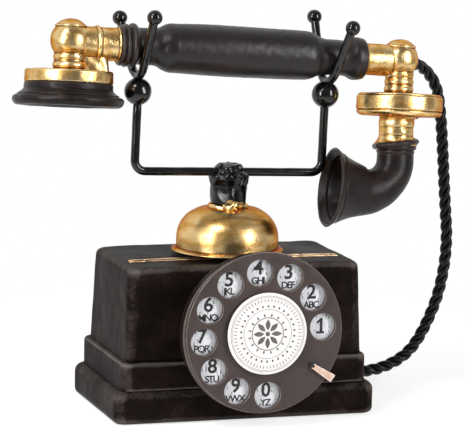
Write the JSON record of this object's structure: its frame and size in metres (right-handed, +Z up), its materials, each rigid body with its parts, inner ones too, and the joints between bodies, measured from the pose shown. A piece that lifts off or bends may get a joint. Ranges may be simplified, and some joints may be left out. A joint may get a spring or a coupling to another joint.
{
  "type": "table telephone",
  "caption": "Antique style table telephone: stepped box, rotary dial, bell on top and a handset with a curved horn lying in a sprung cradle.",
  "frame": {"origin": "centre of the resting face, under the felt pad", "axes": "+Z up, -Y the way the dial faces, +X along the handset towards its horn"},
  "size_m": [0.2307, 0.104, 0.1915],
  "materials": {
    "black_enamel": "satin, worn at the edges",
    "bell_gilt": "satin gilt, mottled",
    "handset_gilt": "satin gilt, mottled",
    "gloss_black_lacquer": "gloss",
    "handle_black": "satin, mottled",
    "horn_black": "half gloss",
    "dial_case_black": "satin",
    "wheel_bronze": "satin, dark bronze",
    "card_white": "matt, printed",
    "spot_plate": "silvered spots",
    "nickel": "satin nickel",
    "steel": "satin",
    "spring_steel": "blued",
    "brass": "satin",
    "coil_wrap": "wound",
    "capacitor_can": "satin",
    "terminal_fibre": "matt",
    "felt": "felt",
    "cord_black": "twisted, satin",
    "rubber": "matt"
  },
  "bodies": {
    "base": {"housing_shell": "black_enamel", "base_plate": "steel", "felt_pad": "felt", "base_screws": "steel", "slot_frame": "bell_gilt", "bell_gong": "bell_gilt", "bell_collar": "bell_gilt", "guide_tube": "brass", "dial_case": "dial_case_black", "dial_screws": "steel", "number_plate": "spot_plate", "finger_stop": "nickel", "dial_frame": "steel", "dial_return_spring": "spring_steel", "governor_cup": "brass", "pulse_contacts": "brass", "hook_switch_bracket": "steel", "hook_switch_springs": "brass", "plunger_spring": "spring_steel", "ringer_frame": "steel", "ringer_coils": "coil_wrap", "clapper_pin": "steel", "induction_coil": "coil_wrap", "capacitor": "capacitor_can", "terminal_board": "terminal_fibre", "base_cord_bush": "rubber", "line_cord_grommet": "rubber"},
    "cradle": {"cradle_neck": "gloss_black_lacquer", "neck_cap": "gloss_black_lacquer", "cradle_bar": "gloss_black_lacquer", "cradle_balls": "gloss_black_lacquer", "cradle_forks": "gloss_black_lacquer", "fork_tips": "gloss_black_lacquer", "plunger_rod": "steel"},
    "handset": {"handle_grip": "handle_black", "handle_ferrules": "handset_gilt", "receiver_elbow": "handset_gilt", "receiver_cup": "handset_gilt", "receiver_magnet": "steel", "receiver_diaphragm": "steel", "ear_cap": "horn_black", "transmitter_elbow": "handset_gilt", "transmitter_cup": "handset_gilt", "transmitter_capsule": "brass", "transmitter_neck": "handset_gilt", "mouthpiece_ring": "horn_black", "mouthpiece_horn": "horn_black", "handset_cord_bush": "rubber", "handset_cord": "cord_black"},
    "dial": {"finger_wheel": "wheel_bronze", "card_holder": "wheel_bronze", "dial_card": "card_white", "dial_shaft": "steel", "main_gear": "brass", "pulse_cam": "brass"},
    "governor": {"governor_shaft": "brass", "governor_weights": "brass"},
    "clapper": {"armature": "steel", "clapper_rod": "brass"},
    "hook_lever": {"hook_lever": "steel"}
  },
  "joints": [
    {"name": "handset_lift", "type": "slide", "parent": "base", "child": "handset", "axis": [0, -0.342, 0.9397], "range_m": [0, 0.024]},
    {"name": "cradle_rise", "type": "slide", "parent": "base", "child": "cradle", "axis": [0, 0, 1], "range_m": [0, 0.005], "deforming": ["plunger_spring"]},
    {"name": "hook_lever_tilt", "type": "hinge", "parent": "base", "child": "hook_lever", "pos_m": [0.022, -0.003, 0.034], "axis": [0, 1, 0], "range_deg": [0, 17]},
    {"name": "dial_turn", "type": "hinge", "parent": "base", "child": "dial", "pos_m": [0, -0.05, 0.0453], "axis": [0, 1, 0], "range_deg": [0, 290], "stiffness_Nm_per_rad": 0.005, "springref_deg": -85.94},
    {"name": "governor_spin", "type": "hinge", "parent": "base", "child": "governor", "pos_m": [0.00803, -0.04, 0.05488], "axis": [0, 1, 0], "range_deg": [-1165, 5]},
    {"name": "clapper_swing", "type": "hinge", "parent": "base", "child": "clapper", "pos_m": [0, 0.012, 0.061], "axis": [0, 1, 0], "range_deg": [-4, 4.4]}
  ],
  "couplings": [
    {"joint": "cradle_rise", "follows": "handset_lift", "ratio": 0.208},
    {"joint": "hook_lever_tilt", "follows": "handset_lift", "rad_per_m": 11.6},
    {"joint": "governor_spin", "follows": "dial_turn", "ratio": -4}
  ]
}
